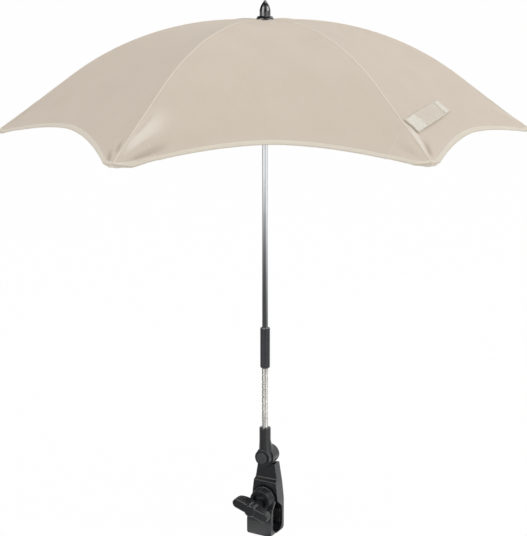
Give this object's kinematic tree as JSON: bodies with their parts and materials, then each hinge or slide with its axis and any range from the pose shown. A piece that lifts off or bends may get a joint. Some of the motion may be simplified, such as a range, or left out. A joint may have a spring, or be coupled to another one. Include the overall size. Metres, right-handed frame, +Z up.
{
  "type": "pram parasol",
  "caption": "Clip-on pram parasol with a scalloped beige canopy on folding ribs, a slim shaft, a flexible neck, a tilting joint and a screw clamp for a round push bar.",
  "frame": {"origin": "centre of the clamp's grip, on the axis of the push bar it holds", "axes": "+X along the gripped bar, -Y along the clamp screw towards the wing nut, +Z up the shaft to the finial"},
  "size_m": [0.61, 0.7038, 0.7454],
  "materials": {
    "black_plastic": "satin moulded black plastic",
    "gloss_black": "polished black",
    "pad_rubber": "matt black rubber",
    "zinc_steel": "zinc plated",
    "black_steel": "satin black",
    "shaft_chrome": "bright plated tube",
    "neck_nickel": "nickel plated spiral",
    "rib_steel": "plated steel",
    "grey_plastic": "moulded grey",
    "canopy_cloth": "beige woven cloth"
  },
  "bodies": {
    "clamp": {"clamp_body": "black_plastic", "rear_jaw_pad": "pad_rubber", "clamp_screw": "zinc_steel"},
    "front_jaw": {"front_jaw": "black_plastic", "front_jaw_pad": "pad_rubber", "jaw_washer": "black_steel"},
    "wing_nut": {"wing_nut": "black_plastic"},
    "swivel_head": {"swivel_socket": "black_plastic", "hinge_bolt": "black_steel", "hinge_nut": "zinc_steel", "neck_ferrule": "neck_nickel", "neck_piece_1": "neck_nickel"},
    "neck_2": {"neck_piece_2": "neck_nickel"},
    "neck_3": {"neck_piece_3": "neck_nickel"},
    "neck_4": {"neck_piece_4": "neck_nickel"},
    "neck_5": {"neck_piece_5": "neck_nickel"},
    "neck_6": {"neck_piece_6": "neck_nickel"},
    "shaft": {"neck_piece_7": "neck_nickel", "joint_sleeve": "black_plastic", "shaft": "shaft_chrome", "crown": "black_plastic", "finial": "gloss_black"},
    "runner": {"runner": "black_plastic"},
    "rib_1": {"rib_1": "rib_steel", "rib_tip_1": "grey_plastic", "rib_clip_1": "grey_plastic", "canopy_panel_1": "canopy_cloth"},
    "rib_2": {"rib_2": "rib_steel", "rib_tip_2": "grey_plastic", "rib_clip_2": "grey_plastic", "canopy_panel_2": "canopy_cloth", "closing_strap": "canopy_cloth"},
    "rib_3": {"rib_3": "rib_steel", "rib_tip_3": "grey_plastic", "rib_clip_3": "grey_plastic", "canopy_panel_3": "canopy_cloth"},
    "rib_4": {"rib_4": "rib_steel", "rib_tip_4": "grey_plastic", "rib_clip_4": "grey_plastic", "canopy_panel_4": "canopy_cloth"},
    "rib_5": {"rib_5": "rib_steel", "rib_tip_5": "grey_plastic", "rib_clip_5": "grey_plastic", "canopy_panel_5": "canopy_cloth"},
    "rib_6": {"rib_6": "rib_steel", "rib_tip_6": "grey_plastic", "rib_clip_6": "grey_plastic", "canopy_panel_6": "canopy_cloth"},
    "stretcher_1": {"stretcher_1": "rib_steel"},
    "stretcher_2": {"stretcher_2": "rib_steel"},
    "stretcher_3": {"stretcher_3": "rib_steel"},
    "stretcher_4": {"stretcher_4": "rib_steel"},
    "stretcher_5": {"stretcher_5": "rib_steel"},
    "stretcher_6": {"stretcher_6": "rib_steel"}
  },
  "joints": [
    {"name": "jaw_slide", "type": "slide", "parent": "clamp", "child": "front_jaw", "axis": [0, -1, 0], "range_m": [0, 0.01]},
    {"name": "wing_turn", "type": "hinge", "parent": "front_jaw", "child": "wing_nut", "pos_m": [0, -0.038, 0.024], "axis": [0, -1, 0], "range_deg": [0, 3780]},
    {"name": "head_tilt", "type": "hinge", "parent": "clamp", "child": "swivel_head", "pos_m": [0, 0.0085, 0.0895], "axis": [0, 1, 0], "range_deg": [-45, 45]},
    {"name": "neck_nod_1", "type": "hinge", "parent": "swivel_head", "child": "neck_2", "pos_m": [0, 0, 0.15747], "axis": [1, 0, 0], "range_deg": [-10, 10]},
    {"name": "neck_sway_1", "type": "hinge", "parent": "neck_2", "child": "neck_3", "pos_m": [0, 0, 0.16794], "axis": [0, 1, 0], "range_deg": [-10, 10]},
    {"name": "neck_nod_2", "type": "hinge", "parent": "neck_3", "child": "neck_4", "pos_m": [0, 0, 0.17841], "axis": [1, 0, 0], "range_deg": [-10, 10]},
    {"name": "neck_sway_2", "type": "hinge", "parent": "neck_4", "child": "neck_5", "pos_m": [0, 0, 0.18889], "axis": [0, 1, 0], "range_deg": [-10, 10]},
    {"name": "neck_nod_3", "type": "hinge", "parent": "neck_5", "child": "neck_6", "pos_m": [0, 0, 0.19936], "axis": [1, 0, 0], "range_deg": [-10, 10]},
    {"name": "neck_sway_3", "type": "hinge", "parent": "neck_6", "child": "shaft", "pos_m": [0, 0, 0.20983], "axis": [0, 1, 0], "range_deg": [-10, 10]},
    {"name": "runner_slide", "type": "slide", "parent": "shaft", "child": "runner", "axis": [0, 0, -1], "range_m": [0, 0.18824], "deforming": ["canopy_panel_1", "canopy_panel_2", "canopy_panel_3", "canopy_panel_4", "canopy_panel_5", "canopy_panel_6", "closing_strap"]},
    {"name": "rib_fold_1", "type": "hinge", "parent": "shaft", "child": "rib_1", "pos_m": [0, -0.0086, 0.69145], "axis": [1, 0, 0], "range_deg": [0, 66.1]},
    {"name": "rib_fold_2", "type": "hinge", "parent": "shaft", "child": "rib_2", "pos_m": [0.00745, -0.0043, 0.69145], "axis": [0.5, 0.866, 0], "range_deg": [0, 66.1]},
    {"name": "rib_fold_3", "type": "hinge", "parent": "shaft", "child": "rib_3", "pos_m": [0.00745, 0.0043, 0.69145], "axis": [-0.5, 0.866, 0], "range_deg": [0, 66.1]},
    {"name": "rib_fold_4", "type": "hinge", "parent": "shaft", "child": "rib_4", "pos_m": [0, 0.0086, 0.69145], "axis": [-1, 0, 0], "range_deg": [0, 66.1]},
    {"name": "rib_fold_5", "type": "hinge", "parent": "shaft", "child": "rib_5", "pos_m": [-0.00745, 0.0043, 0.69145], "axis": [-0.5, -0.866, 0], "range_deg": [0, 66.1]},
    {"name": "rib_fold_6", "type": "hinge", "parent": "shaft", "child": "rib_6", "pos_m": [-0.00745, -0.0043, 0.69145], "axis": [0.5, -0.866, 0], "range_deg": [0, 66.1]},
    {"name": "strut_fold_1", "type": "hinge", "parent": "rib_1", "child": "stretcher_1", "pos_m": [0, -0.14844, 0.66926], "axis": [1, 0, 0], "range_deg": [-112.8, 0]},
    {"name": "strut_fold_2", "type": "hinge", "parent": "rib_2", "child": "stretcher_2", "pos_m": [0.12855, -0.07422, 0.66926], "axis": [0.5, 0.866, 0], "range_deg": [-112.8, 0]},
    {"name": "strut_fold_3", "type": "hinge", "parent": "rib_3", "child": "stretcher_3", "pos_m": [0.12855, 0.07422, 0.66926], "axis": [-0.5, 0.866, 0], "range_deg": [-112.8, 0]},
    {"name": "strut_fold_4", "type": "hinge", "parent": "rib_4", "child": "stretcher_4", "pos_m": [0, 0.14844, 0.66926], "axis": [-1, 0, 0], "range_deg": [-112.8, 0]},
    {"name": "strut_fold_5", "type": "hinge", "parent": "rib_5", "child": "stretcher_5", "pos_m": [-0.12855, 0.07422, 0.66926], "axis": [-0.5, -0.866, 0], "range_deg": [-112.8, 0]},
    {"name": "strut_fold_6", "type": "hinge", "parent": "rib_6", "child": "stretcher_6", "pos_m": [-0.12855, -0.07422, 0.66926], "axis": [0.5, -0.866, 0], "range_deg": [-112.8, 0]}
  ],
  "couplings": [
    {"joint": "wing_turn", "follows": "jaw_slide", "rad_per_m": 6283.2},
    {"joint": "rib_fold_1", "follows": "runner_slide", "rad_per_m": 6.1193},
    {"joint": "rib_fold_2", "follows": "runner_slide", "rad_per_m": 6.1193},
    {"joint": "rib_fold_3", "follows": "runner_slide", "rad_per_m": 6.1193},
    {"joint": "rib_fold_4", "follows": "runner_slide", "rad_per_m": 6.1193},
    {"joint": "rib_fold_5", "follows": "runner_slide", "rad_per_m": 6.1193},
    {"joint": "rib_fold_6", "follows": "runner_slide", "rad_per_m": 6.1193},
    {"joint": "strut_fold_1", "follows": "runner_slide", "rad_per_m": -10.449},
    {"joint": "strut_fold_2", "follows": "runner_slide", "rad_per_m": -10.449},
    {"joint": "strut_fold_3", "follows": "runner_slide", "rad_per_m": -10.449},
    {"joint": "strut_fold_4", "follows": "runner_slide", "rad_per_m": -10.449},
    {"joint": "strut_fold_5", "follows": "runner_slide", "rad_per_m": -10.449},
    {"joint": "strut_fold_6", "follows": "runner_slide", "rad_per_m": -10.449}
  ]
}
